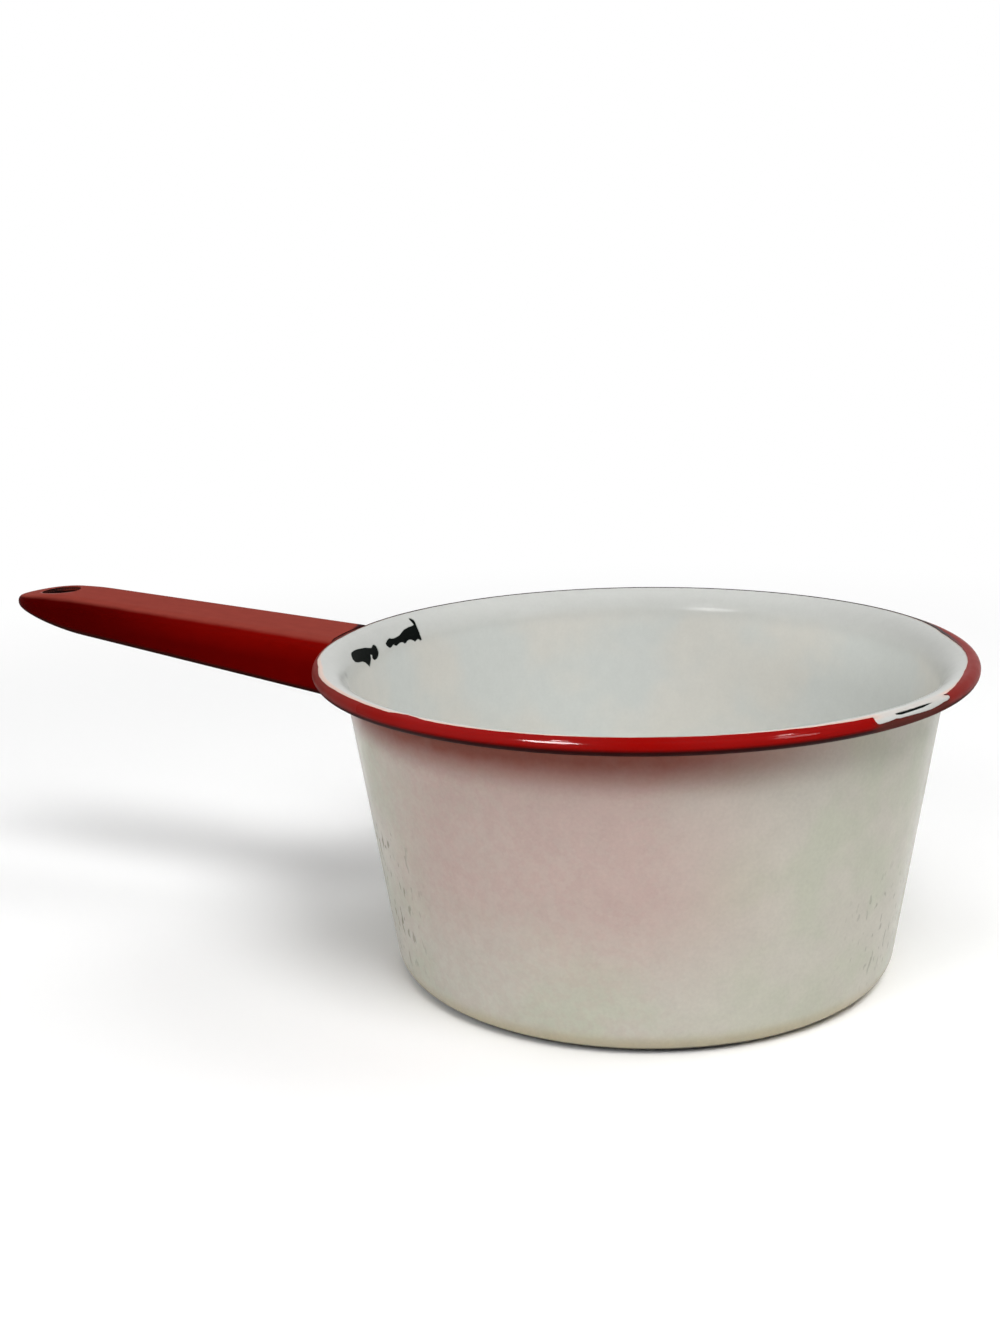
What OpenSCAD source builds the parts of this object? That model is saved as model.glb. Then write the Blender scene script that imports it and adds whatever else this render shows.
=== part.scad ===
// Enamelled steel saucepan with a folded sheet handle.
// The pan stands on z = 0, the bowl's axis is the Z axis and the handle runs along -X.

/* [Bowl] */
// Outside diameter over the rolled rim
rim_d = 200; // [180:1:220]
// Height from the table to the top of the rim
pan_h = 97.4; // [90:0.1:106]
// Diameter at which the outside of the wall would meet the table
foot_d = 153; // [146:1:158]
// How far the rim stands out past the straight wall, each side
lip_reach = 9.8; // [9:0.1:11]
// Height of the flared lip, from the straight wall to the top of the rim
lip_h = 8.1; // [7.6:0.1:9]
// Outside radius of the bend between the base and the wall
heel_r = 7.7; // [5:0.1:12]
// Thickness of the rolled rim with its enamel
roll_d = 5; // [4.4:0.1:5.4]
// Gap between the rolled edge and the underside of the lip
roll_gap = 0.3; // [0.2:0.05:0.6]

/* [Sheet and enamel] */
// Thickness of the steel sheet
steel_t = 0.7; // [0.6:0.05:0.8]
// Thickness of the black ground coat
ground_t = 0.12; // [0.1:0.01:0.15]
// Thickness of the white cover coat
white_t = 0.2; // [0.15:0.01:0.25]
// Thickness of the red coat on the rim
rim_red_t = 0.15; // [0.1:0.01:0.2]
// Thickness of the red coat on the handle
grip_red_t = 0.3; // [0.2:0.01:0.35]
// Width of the red band on top of the rim, measured flat from the rim's outside edge
red_band_w = 1.9; // [1.5:0.1:2.3]

/* [Handle] */
// Length of the handle beyond the rim
handle_l = 129.6; // [110:0.1:150]
// Width of the handle at the rim
handle_w = 28.8; // [26:0.1:32]
// How much narrower the handle is where its nose begins
handle_taper = 3.9; // [2:0.1:6]
// Depth of the handle at the rim, from its top to its lower edges
handle_depth = 19.2; // [17:0.1:21]
// How much shallower the handle is where its nose begins
depth_taper = 7.2; // [5:0.1:8]
// How far the handle's top lies below the top of the rim, where they meet
top_drop = 0.66; // [0.4:0.01:1.2]
// Upward slope of the handle's top, in degrees
handle_rise = 4.52; // [2:0.01:7]
// Length of the rounded nose
nose_l = 21.1; // [18:0.1:26]
// Depth of the nose at its tip
nose_depth = 3.65; // [3.4:0.05:5]
// How far the top bends down at the tip
nose_droop = 4; // [2:0.1:5]
// Radius of the handle's upper edges
shoulder_r = 4.5; // [3.5:0.1:6]
// Radius of the handle's lower edges
turn_r = 2.5; // [2:0.1:3]
// Width of the flat lip turned in under each side
turned_lip_w = 1.6; // [1:0.1:3]
// Diameter of the hanging hole
hang_d = 13.2; // [11:0.1:15]
// Distance from the tip of the handle to the middle of the hanging hole
hang_inset = 16.8; // [15:0.1:20]

/* [Root and welds] */
// Height of the flange that lies against the bowl
flange_h = 9; // [7:0.1:10]
// Diameter of each spot weld
weld_d = 4; // [3:0.1:5]
// Distance between neighbouring spot welds
weld_pitch = 8; // [6:0.1:8.5]

/* [Chips] */
// Width of the chip that starts on the handle's middle line
chip_a_w = 21.2; // [18:0.1:24]
// Height of that chip
chip_a_h = 6.6; // [4:0.1:7]
// Distance of that chip's middle from the handle's middle line
chip_a_y = -10; // [-14:0.1:-8]
// Width of the long chip beside it
chip_b_w = 20.2; // [16:0.1:22]
// Height of the long chip
chip_b_h = 7; // [4:0.1:7.4]
// Distance of the long chip's middle from the handle's middle line
chip_b_y = 16.8; // [15:0.1:20]
// Distance from the top of the rim down to the top of the long chip
chip_drop = 1; // [0.9:0.05:2]
// How much lower the other chip's top lies
chip_step = 2.4; // [1:0.1:3]
// How far the chip on the rim reaches into the red band
rim_chip_w = 1.3; // [0.8:0.1:1.4]
// Width of the black line along that chip
rim_line_w = 0.7; // [0.5:0.1:0.9]

/* [Hidden] */
$fn = 96;
// Bearing of the rim chip's two ends and of the black line's two ends
rim_chip_from = -34;
rim_chip_to = -18;
rim_line_from = -31.7;
rim_line_to = -21.3;
// How far past the rim the outside coats are cut for the handle
over = lip_h / 4;

// Depths into the wall, counted from the face of the white coat inside
at_ground = white_t;
at_steel = at_ground + ground_t;
at_back = at_steel + steel_t;
at_outer_white = at_back + ground_t;
at_outside = at_outer_white + white_t;

// The straight wall leans out by this angle
rim_r = rim_d / 2;
lean = atan((rim_r - lip_reach - foot_d / 2) / (pan_h - lip_h));
wall_out = [cos(lean), -sin(lean)];
wall_up = [sin(lean), cos(lean)];

// Roll of the rim: its white face and its middle
roll_r = roll_d / 2 - rim_red_t;
roll_c = [rim_r - roll_d / 2, pan_h - roll_d / 2];

// The lip is an arc that leaves the wall and meets the roll smoothly
function wall_r(z, depth) = foot_d / 2 + z * tan(lean) - (at_outside - depth) / cos(lean);
face_foot = [foot_d / 2, 0] - wall_out * at_outside;
lip_start = (pan_h - lip_h) / cos(lean);
roll_across = (roll_c - face_foot) * wall_out;
roll_along = (roll_c - face_foot) * wall_up - lip_start;
lip_r = (roll_across ^ 2 + roll_along ^ 2 - roll_r ^ 2) / (2 * (roll_across - roll_r));
lip_c = face_foot + wall_out * lip_r + wall_up * lip_start;
lip_end = atan2(roll_c.y - lip_c.y, roll_c.x - lip_c.x);
// The sheet rolls round until its edge is one gap away from the lip's underside
roll_off = lip_r - roll_r;
roll_free = lip_r - at_outside - roll_gap;
roll_turn = 360 - acos((roll_free ^ 2 - roll_off ^ 2 - roll_d ^ 2 / 4) / (roll_off * roll_d));

// The bend at the foot of the wall touches the table and the wall
back_foot = face_foot + wall_out * at_back;
heel_c = [back_foot.x - (heel_r + (back_foot.y - heel_r) * sin(lean)) / cos(lean), heel_r];

// The red band begins on top of the roll
red_start = acos(1 - red_band_w * 2 / roll_d);

heel_steps = 10;
lip_steps = 10;
crest_steps = 3;
band_steps = 35;

function on_arc(c, r, a) = c + r * [cos(a), sin(a)];
function arc(c, r, from, to, steps) = [for (i = [0:steps]) on_arc(c, r, from + (to - from) * i / steps)];

// The wall's outline at one depth: base and heel, then the lip, then the roll
function heel_path(depth, from = -90) =
    arc(heel_c, heel_r + depth - at_back, from, -lean, heel_steps);
function lip_path(depth) = arc(lip_c, lip_r - depth, 180 - lean, lip_end, lip_steps);
// The roll's outline: its crest, and the rest from where the red band begins
function crest_path(depth) = [
    for (i = [0:crest_steps - 1])
        on_arc(roll_c, roll_r - depth, lip_end + (red_start - lip_end) * i / crest_steps)
];
function band_path(depth) = arc(roll_c, roll_r - depth, red_start, lip_end - roll_turn, band_steps);
function wall_path(depth) = concat(
    [[0, at_back - depth]], heel_path(depth), lip_path(depth), crest_path(depth), band_path(depth)
);
// Outside coats end where the bare foot meets the table
function foot_angle(depth) = -90 + acos(heel_r / (heel_r + depth - at_back));
function outer_path(depth) = concat(heel_path(depth, foot_angle(depth)), lip_path(depth));
function back_to_front(path) = [for (i = [len(path) - 1:-1:0]) path[i]];

module turned(near, far) {
    rotate_extrude() polygon(concat(near, back_to_front(far)));
}

// Handle: s counts outward from the bowl's axis, y across, z up
tip_s = rim_r + handle_l;
nose_s = tip_s - nose_l;
bend_s = nose_s - nose_l / 2;
root_s = rim_r - lip_reach * 2;
half_w = handle_w / 2;
slope_w = handle_taper / 2 / (nose_s - rim_r);
slope_depth = depth_taper / (nose_s - rim_r);
top_z = pan_h - top_drop;

function smooth(t) = t * t * (3 - 2 * t);
function nose_share(s) = max(0, (s - nose_s) / nose_l);
function bend_share(s) = max(0, (s - bend_s) / (tip_s - bend_s));
function half_at(s) = half_w - slope_w * (s - rim_r);
function line_top(s) = top_z + tan(handle_rise) * (s - rim_r);
function handle_top(s) = line_top(s) - nose_droop * bend_share(s) ^ 2;
function line_low(s) = line_top(s) - handle_depth + slope_depth * (s - rim_r);
tip_lift = handle_top(tip_s) - nose_depth - line_low(tip_s);
function handle_low(s) = line_low(s) + tip_lift * smooth(bend_share(s));
// At the tip the two edge radii share the nose's depth, and the turned lip is narrower
tip_shoulder_share = 0.55;
tip_turn_share = 0.45;
tip_lip_share = 0.4;
function to_tip(s, size, tip_size) = size + (tip_size - size) * nose_share(s);
function shoulder_at(s) = to_tip(s, shoulder_r, nose_depth * tip_shoulder_share);
function turn_at(s) = to_tip(s, turn_r, nose_depth * tip_turn_share);
function lip_width(s) = to_tip(s, turned_lip_w, turned_lip_w * tip_lip_share);

// Plan of the handle at an inset from its outside: root, along one side, round the nose
side_shares = [0, 0.42, 0.7, 0.82, 0.91];
nose_steps = 8;
function side_s(i) = root_s + (nose_s - root_s) * side_shares[i];
function side_point(i, inset) = [side_s(i), half_at(side_s(i)) - inset];
function nose_point(i, inset) = [
    nose_s + (nose_l - inset) * sin(90 * i / nose_steps),
    (half_at(nose_s) - inset) * cos(90 * i / nose_steps)
];
half_count = len(side_shares) + nose_steps;
function plan_point(i, inset) =
    i < len(side_shares) ? side_point(i, inset) : nose_point(i - len(side_shares), inset);
function plan_s(i) = plan_point(i, 0).x;
// The far side mirrors the near side about the tip
function mirrored(i) = i <= half_count ? i : 2 * half_count - i;
function side_sign(i) = i <= half_count ? -1 : 1;

// Rings of the skin, from the turned lip up to the top, each an inset and a height
turn_steps = 3;
shoulder_steps = 4;
ring_count = 1 + (turn_steps + 1) + (shoulder_steps + 1);
function lip_ring(s, skin, short) = [turn_at(s) + lip_width(s) - short, handle_low(s) + skin];
function turn_ring(s, skin, a) = [
    turn_at(s) - (turn_at(s) - skin) * cos(a), handle_low(s) + turn_at(s) - (turn_at(s) - skin) * sin(a)
];
function shoulder_ring(s, skin, a) = [
    shoulder_at(s) - (shoulder_at(s) - skin) * cos(a),
    handle_top(s) - shoulder_at(s) + (shoulder_at(s) - skin) * sin(a)
];
function ring(k, s, skin, short) =
    k == 0 ? lip_ring(s, skin, short)
    : k <= turn_steps + 1 ? turn_ring(s, skin, 90 - 90 * (k - 1) / turn_steps)
    : shoulder_ring(s, skin, 90 * (k - turn_steps - 2) / shoulder_steps);
function skin_point(k, i, skin, short) =
    let (m = mirrored(i), r = ring(k, plan_s(m), skin, short), p = plan_point(m, r.x))
    [-p.x, side_sign(i) * p.y, r.y];
round_count = 2 * half_count + 1;
function skin_points(skin, short) = [
    for (k = [0:ring_count - 1], i = [0:round_count - 1]) skin_point(k, i, skin, short)
];
// Faces of one skin: the bands between rings, then the top across the handle
function at(k, i) = k * round_count + i;
function band_faces(first) = [
    for (k = [0:ring_count - 2], i = [0:round_count - 2])
        each [
            [first + at(k, i), first + at(k, i + 1), first + at(k + 1, i)],
            [first + at(k, i + 1), first + at(k + 1, i + 1), first + at(k + 1, i)]
        ]
];
function top_faces(first) = [
    for (i = [0:half_count - 1])
        let (a = first + at(ring_count - 1, i), b = first + at(ring_count - 1, round_count - 1 - i))
        each i < half_count - 1 ? [[a, a + 1, b], [a + 1, b - 1, b]] : [[a, a + 1, b]]
];
function flipped(faces) = [for (f = faces) [f[2], f[1], f[0]]];
// The section's outline at the root, from one turned lip over the top to the other
function root_loop(first) = concat(
    [for (k = [0:ring_count - 1]) first + at(k, 0)],
    [for (k = [ring_count - 1:-1:0]) first + at(k, round_count - 1)]
);
function strip_faces(p, q) = [
    for (i = [0:len(p) - 2]) each [[p[i], q[i], p[i + 1]], [p[i + 1], q[i], q[i + 1]]]
];
function edge_row(first) = [for (i = [0:round_count - 1]) first + i];

// A skin of the handle between two depths below its outside, its lips shortened by an amount
module handle_skin(outer, inner, short) {
    count = ring_count * round_count;
    polyhedron(
        points = concat(skin_points(outer, short), skin_points(inner, short)),
        faces = concat(
            band_faces(0), top_faces(0), flipped(band_faces(count)), flipped(top_faces(count)),
            flipped(strip_faces(root_loop(0), root_loop(count))),
            strip_faces(edge_row(0), edge_row(count))
        )
    );
}

// What the handle is fitted against: the bowl's steel, the roll and the cleft between them
module bowl_body() {
    rotate_extrude() {
        polygon(concat([[0, 0], [wall_r(0, at_back), 0]], lip_path(at_back), [[0, pan_h]]));
        translate(roll_c) circle(d = roll_d);
        translate([rim_r - lip_reach, pan_h - roll_d]) square([lip_reach - roll_d / 2, roll_d]);
    }
}

module hang_hole() {
    hang_s = tip_s - hang_inset;
    translate([-hang_s, 0, handle_top(hang_s)]) cylinder(d = hang_d, h = handle_depth, center = true);
}

// The handle's outline at the root, which the outside coats are stopped by
module root_section(s) {
    outline = [for (k = [0:ring_count - 1]) skin_point(k, 0, 0, 0)];
    drop = handle_top(s) - handle_top(root_s);
    low = handle_low(s) - handle_low(root_s);
    narrow = half_at(s) - half_at(root_s);
    side = [
        for (k = [0:ring_count - 1])
            [-outline[k].y + narrow, outline[k].z + (k <= turn_steps + 1 ? low : drop)]
    ];
    mirrored_side = [for (p = back_to_front(side)) [-p.x, p.y]];
    translate([-s, 0, 0]) rotate([90, 0, 90]) linear_extrude(height = ground_t)
        polygon(concat(side, mirrored_side));
}
module root_window() {
    hull() {
        root_section(root_s);
        root_section(rim_r + over);
    }
}

// Spot welds sit half in the flange and half in the bowl
flange_top = pan_h - lip_h;
flange_low = flange_top - flange_h;
weld_z = flange_top - flange_h / 2;
weld_face_r = wall_r(weld_z, at_back);
module at_welds() {
    for (i = [-1:1])
        rotate([0, 0, asin(i * weld_pitch / weld_face_r)])
            translate([-weld_face_r, 0, weld_z]) rotate([0, -90 - lean, 0]) children();
}
module weld_nugget() {
    cylinder(d = weld_d, h = steel_t, center = true);
}

// The flange is a strip of sheet that follows the bowl between the handle's two sides
module root_flange() {
    half = half_at(rim_r) - grip_red_t - steel_t / 2;
    near = [for (z = [flange_low, flange_top]) [wall_r(z, at_steel), z]];
    far = [for (z = [flange_top, flange_low]) [wall_r(z, at_back + steel_t), z]];
    intersection() {
        rotate_extrude() polygon(concat(near, far));
        translate([-rim_r, -half, flange_low]) cube([lip_reach * 3, 2 * half, flange_h]);
    }
}

// Chip outlines, each from its lower left corner, as shares of its width and height
chip_a_shares = [
    [0, 0.76], [0.06, 0.58], [0.32, 0.44], [0.4, 0.27], [0.5, 0], [0.59, 0.27], [0.7, 0.52], [0.68, 0.35],
    [0.75, 0.21], [0.85, 0.27], [0.94, 0.41], [1, 0.65], [1, 0.8], [0.92, 0.84], [0.86, 0.79], [0.76, 0.82],
    [0.55, 0.94], [0.3, 1], [0.14, 0.95]
];
chip_b_shares = [
    [0, 0.4], [0.02, 0.17], [0.15, 0.24], [0.22, 0.18], [0.42, 0.29], [0.47, 0.16], [0.62, 0.34],
    [0.67, 0.23], [0.72, 0.09], [0.85, 0.21], [0.91, 0], [0.92, 0.31], [0.95, 0.56], [1, 0.86], [0.93, 1],
    [0.92, 0.82], [0.9, 0.7], [0.65, 0.63], [0.43, 0.49], [0.25, 0.42], [0.16, 0.48]
];
module wall_chip(shares, w, h, y, top) {
    rotate([0, 0, -asin(y / (rim_r - lip_reach))])
        translate([-(rim_r - lip_reach / 2), 0, top - h]) rotate([90, 0, 90])
            linear_extrude(height = lip_reach)
                polygon([for (p = shares) [p.x * w - w / 2, p.y * h]]);
}

// A stripe along part of the rim, cut from above; it stays over the roll's free edge
stripe_low = roll_c.y + roll_r / 2;
stripe_w = rim_line_w + rim_chip_w;
stripe_in = rim_r - red_band_w - rim_line_w;
stripe_r = stripe_in + stripe_w / 2;
module rim_stripe(w, from, to) {
    rotate([0, 0, from]) rotate_extrude(angle = to - from)
        translate([stripe_in, stripe_low]) square([w, roll_d]);
}
module stripe_end(a) {
    rotate([0, 0, a]) translate([stripe_r, 0, stripe_low]) cylinder(d = stripe_w, h = roll_d);
}

module bowl_pressing() {
    color([0.22, 0.22, 0.24]) difference() {
        turned(wall_path(at_steel), wall_path(at_back));
        at_welds() weld_nugget();
    }
}

module inner_ground_coat() {
    color([0.05, 0.06, 0.07]) turned(wall_path(at_ground), wall_path(at_steel));
}

module inner_white_coat() {
    color([0.9, 0.91, 0.89]) difference() {
        turned(wall_path(0), wall_path(at_ground));
        wall_chip(chip_a_shares, chip_a_w, chip_a_h, chip_a_y, pan_h - chip_drop - chip_step);
        wall_chip(chip_b_shares, chip_b_w, chip_b_h, chip_b_y, pan_h - chip_drop);
        rim_stripe(rim_line_w, rim_line_from, rim_line_to);
    }
}

module outer_ground_coat() {
    color([0.05, 0.06, 0.07]) difference() {
        turned(outer_path(at_back), outer_path(at_outer_white));
        root_window();
    }
}

module outer_white_coat() {
    color([0.87, 0.85, 0.8]) difference() {
        turned(outer_path(at_outer_white), outer_path(at_outside));
        root_window();
    }
}

module rim_red_coat() {
    color([0.66, 0.09, 0.06]) difference() {
        turned(band_path(-rim_red_t), band_path(0));
        rim_stripe(stripe_w, rim_chip_from, rim_chip_to);
        stripe_end(rim_chip_from);
        stripe_end(rim_chip_to);
    }
}

module handle_pressing() {
    color([0.22, 0.22, 0.24]) difference() {
        union() {
            handle_skin(grip_red_t, grip_red_t + steel_t, 0);
            root_flange();
        }
        bowl_body();
        hang_hole();
        at_welds() weld_nugget();
    }
}

module handle_red_coat() {
    color([0.6, 0.09, 0.07]) difference() {
        handle_skin(0, 2 * grip_red_t + steel_t, -grip_red_t);
        handle_skin(grip_red_t, grip_red_t + steel_t, 0);
        bowl_body();
        root_flange();
        hang_hole();
    }
}

module spot_welds() {
    color([0.4, 0.4, 0.42]) at_welds() weld_nugget();
}

bowl_pressing();
handle_pressing();
spot_welds();
inner_ground_coat();
outer_ground_coat();
inner_white_coat();
outer_white_coat();
rim_red_coat();
handle_red_coat();
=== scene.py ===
import math

import bmesh
import bpy
import numpy as np
from mathutils import Matrix, Vector, noise


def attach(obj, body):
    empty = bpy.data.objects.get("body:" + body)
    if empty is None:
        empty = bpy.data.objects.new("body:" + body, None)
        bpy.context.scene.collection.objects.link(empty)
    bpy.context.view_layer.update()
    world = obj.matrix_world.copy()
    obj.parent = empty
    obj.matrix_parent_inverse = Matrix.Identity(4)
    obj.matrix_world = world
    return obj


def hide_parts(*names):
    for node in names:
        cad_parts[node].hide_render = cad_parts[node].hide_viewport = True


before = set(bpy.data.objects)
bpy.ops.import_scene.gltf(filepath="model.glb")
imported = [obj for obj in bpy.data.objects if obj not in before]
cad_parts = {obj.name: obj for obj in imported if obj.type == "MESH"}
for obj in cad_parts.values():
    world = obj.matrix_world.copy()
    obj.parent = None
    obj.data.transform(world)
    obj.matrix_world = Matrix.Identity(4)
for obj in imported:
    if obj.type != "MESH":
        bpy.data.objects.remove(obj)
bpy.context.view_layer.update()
mm = 0.001
print("frame loaded:", len(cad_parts), "nodes")


# Camera: the photo's view, with the handle turned away to the left
photoView = {
    "place": (0.1613, -0.4903, 0.2174),
    "turn": 23.0,
    "lookDown": 13.524,
    "roll": -1.508,
    "lens": 46.96,
}


def placeCamera(view):
    turn = Matrix.Rotation(math.radians(view["turn"]), 4, "Z")
    tilt = Matrix.Rotation(math.radians(90 - view["lookDown"]), 4, "X")
    roll = Matrix.Rotation(math.radians(view["roll"]), 4, "Z")
    bpy.ops.object.camera_add()
    camera = bpy.context.object
    camera.name = "photoCamera"
    camera.matrix_world = Matrix.Translation(view["place"]) @ turn @ tilt @ roll
    camera.data.lens = view["lens"]
    camera.data.clip_start = 0.01
    bpy.context.scene.camera = camera


placeCamera(photoView)
print("camera placed")


# Modelling tools
def setMode(mode):
    bpy.ops.object.mode_set(mode=mode)


def deselectAll():
    if bpy.context.object and bpy.context.object.mode != "OBJECT":
        setMode("OBJECT")
    bpy.ops.object.select_all(action="DESELECT")


def activate(piece):
    deselectAll()
    piece.select_set(True)
    bpy.context.view_layer.objects.active = piece


def startPoint(name, place):
    # a small plane merged to one point, which a line is then drawn out of
    deselectAll()
    bpy.ops.mesh.primitive_plane_add(size=2 * mm)
    piece = bpy.context.object
    piece.name = piece.data.name = name
    setMode("EDIT")
    bpy.ops.mesh.select_mode(type="VERT")
    bpy.ops.mesh.merge(type="CENTER")
    bpy.ops.transform.translate(value=place)
    return piece


def pickPoints(piece, places):
    # selects only the points that lie nearest to these places
    mesh = bmesh.from_edit_mesh(piece.data)
    bpy.ops.mesh.select_all(action="DESELECT")
    for place in places:
        min(mesh.verts, key=lambda v: (v.co - place).length_squared).select_set(True)
    mesh.select_flush(True)
    bmesh.update_edit_mesh(piece.data)


def upright(point):
    return Vector((point.x, 0, point.y)) * mm


def drawOutline(name, strokes):
    # lines are extruded and divided, arcs are spun, each from where the last one ended
    piece = startPoint(name, upright(strokes[0]["points"][0]))
    for stroke in strokes:
        start, end = upright(stroke["points"][0]), upright(stroke["points"][-1])
        if "middle" in stroke:
            middle = upright(stroke["middle"])
            steps = len(stroke["points"]) - 1
            bpy.ops.mesh.spin(steps=steps, angle=stroke["turn"], center=middle, axis=(0, 1, 0))
        else:
            bpy.ops.mesh.extrude_vertices_move(TRANSFORM_OT_translate={"value": end - start})
            if len(stroke["points"]) > 2:
                pickPoints(piece, [start, end])
                bpy.ops.mesh.subdivide(number_cuts=len(stroke["points"]) - 2)
        pickPoints(piece, [end])
    return piece


def applyModifiers(piece):
    activate(piece)
    for modifier in list(piece.modifiers):
        bpy.ops.object.modifier_apply(modifier=modifier.name)


def shadeSmooth(piece, angle):
    activate(piece)
    bpy.ops.object.shade_smooth_by_angle(angle=math.radians(angle))


def faceOutward(piece, near, direction):
    # the face nearest to a place has to look that way, or all of them are turned round
    activate(piece)
    setMode("EDIT")
    bpy.ops.mesh.select_all(action="SELECT")
    bpy.ops.mesh.normals_make_consistent(inside=False)
    mesh = bmesh.from_edit_mesh(piece.data)
    face = min(mesh.faces, key=lambda f: (f.calc_center_median() - Vector(near)).length)
    if face.normal.dot(Vector(direction)) < 0:
        bpy.ops.mesh.flip_normals()
    setMode("OBJECT")


def thicken(piece, thickness, even=False):
    shell = piece.modifiers.new("thickness", "SOLIDIFY")
    shell.thickness = thickness
    shell.offset = -1
    shell.use_even_offset = even
    applyModifiers(piece)


def cutAway(piece, cutter):
    cut = piece.modifiers.new("cut", "BOOLEAN")
    cut.operation = "DIFFERENCE"
    cut.solver = "EXACT"
    cut.object = cutter
    applyModifiers(piece)
    bpy.data.objects.remove(cutter)


# Bowl outline, in millimetres, the same as the CAD's
bowl = {
    "rimRadius": 100.0,
    "height": 97.4,
    "footRadius": 76.5,
    "lipReach": 9.8,
    "lipHeight": 8.1,
    "heelRadius": 7.7,
    "rollSize": 5.0,
    "rollGap": 0.3,
    "whiteCoat": 0.2,
    "groundCoat": 0.12,
    "steel": 0.7,
    "redCoat": 0.15,
    "turns": 360,
    "mergeGap": 0.005,
}
# how many stretches each part of an outline is divided into
outlineSteps = {"base": 6, "heel": 14, "insideWall": 24, "outsideWall": 40, "lip": 12, "roll": 32}
rollSteps = outlineSteps["roll"]
smoothAngle = 40
atSteel = bowl["whiteCoat"] + bowl["groundCoat"]
atBack = atSteel + bowl["steel"]
atOuterWhite = atBack + bowl["groundCoat"]
atOutside = atOuterWhite + bowl["whiteCoat"]
straightHeight = bowl["height"] - bowl["lipHeight"]
lean = math.atan((bowl["rimRadius"] - bowl["lipReach"] - bowl["footRadius"]) / straightHeight)
wallOut = Vector((math.cos(lean), -math.sin(lean)))
wallUp = Vector((math.sin(lean), math.cos(lean)))
rollRadius = bowl["rollSize"] / 2 - bowl["redCoat"]
rollMiddle = Vector((bowl["rimRadius"] - bowl["rollSize"] / 2, bowl["height"] - bowl["rollSize"] / 2))
faceFoot = Vector((bowl["footRadius"], 0)) - wallOut * atOutside
lipStart = straightHeight / math.cos(lean)
rollAcross = (rollMiddle - faceFoot).dot(wallOut)
rollAlong = (rollMiddle - faceFoot).dot(wallUp) - lipStart
lipRadius = (rollAcross**2 + rollAlong**2 - rollRadius**2) / (2 * (rollAcross - rollRadius))
lipMiddle = faceFoot + wallOut * lipRadius + wallUp * lipStart
lipEnd = math.atan2(rollMiddle.y - lipMiddle.y, rollMiddle.x - lipMiddle.x)
rollOff = lipRadius - rollRadius
rollFree = lipRadius - atOutside - bowl["rollGap"]
rollHalf = bowl["rollSize"] / 2
rollTurn = 2 * math.pi - math.acos((rollFree**2 - rollOff**2 - rollHalf**2) / (2 * rollOff * rollHalf))
backFoot = faceFoot + wallOut * atBack
heelAside = bowl["heelRadius"] + (backFoot.y - bowl["heelRadius"]) * math.sin(lean)
heelMiddle = Vector((backFoot.x - heelAside / math.cos(lean), bowl["heelRadius"]))


def arc(middle, radius, start, end, steps):
    angles = [start + (end - start) * i / steps for i in range(steps + 1)]
    points = [middle + radius * Vector((math.cos(a), math.sin(a))) for a in angles]
    return {"points": points, "middle": middle, "turn": end - start}


def line(start, end, steps=1):
    return {"points": [start.lerp(end, i / steps) for i in range(steps + 1)]}


def heelArc(depth, start=-math.pi / 2):
    return arc(heelMiddle, bowl["heelRadius"] + depth - atBack, start, -lean, outlineSteps["heel"])


def lipArc(depth, start=math.pi - lean, steps=outlineSteps["lip"]):
    return arc(lipMiddle, lipRadius - depth, start, lipEnd, steps)


def rollArc(depth):
    return arc(rollMiddle, rollRadius - depth, lipEnd, lipEnd - rollTurn, rollSteps)


def insideStrokes(depth):
    heel, lip = heelArc(depth), lipArc(depth)
    base = line(Vector((0, atBack - depth)), heel["points"][0], outlineSteps["base"])
    wall = line(heel["points"][-1], lip["points"][0], outlineSteps["insideWall"])
    return [base, heel, wall, lip, rollArc(depth)]


def outsideStrokes(depth, lift):
    radius = bowl["heelRadius"] + depth - atBack
    start = -math.pi / 2 + math.acos((bowl["heelRadius"] - lift) / radius)
    heel, lip = heelArc(depth, start), lipArc(depth)
    wall = line(heel["points"][-1], lip["points"][0], outlineSteps["outsideWall"])
    return [heel, wall, lip]


def pointsOf(strokes):
    points = strokes[0]["points"][:1]
    for stroke in strokes:
        points += stroke["points"][1:]
    return points


def lengthsAlong(outline):
    lengths = [0.0]
    for here, there in zip(outline, outline[1:]):
        lengths.append(lengths[-1] + (there - here).length)
    return np.array(lengths)


def placeOn(outline, lengths, along, bearing):
    # places on the turned surface, in metres, from lengths along the outline and bearings
    radius = np.interp(along, lengths, [p.x for p in outline])
    height = np.interp(along, lengths, [p.y for p in outline])
    return np.stack([radius * np.cos(bearing), radius * np.sin(bearing), height], -1) * mm


def spinOutline(name, strokes, turns):
    # an outline drawn, measured along its length, and spun round the bowl's axis
    outline = pointsOf(strokes)
    lengths = lengthsAlong(outline)
    piece = drawOutline(name, strokes)
    mesh = bmesh.from_edit_mesh(piece.data)
    measure = mesh.verts.layers.float.new("along")
    places = np.array([[p.x, p.y] for p in outline]) * mm
    for vert in mesh.verts:
        gap = np.hypot(places[:, 0] - vert.co.x, places[:, 1] - vert.co.z)
        vert[measure] = lengths[int(gap.argmin())]
    bmesh.update_edit_mesh(piece.data)
    bpy.ops.mesh.select_all(action="SELECT")
    bpy.ops.mesh.spin(steps=turns, angle=2 * math.pi, center=(0, 0, 0), axis=(0, 0, 1))
    bpy.ops.mesh.select_all(action="SELECT")
    bpy.ops.mesh.remove_doubles(threshold=bowl["mergeGap"] * mm)
    setMode("OBJECT")
    return piece, outline, lengths


def bearingsOf(places):
    return np.arctan2(places[:, 1], places[:, 0]) % (2 * math.pi)


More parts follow.
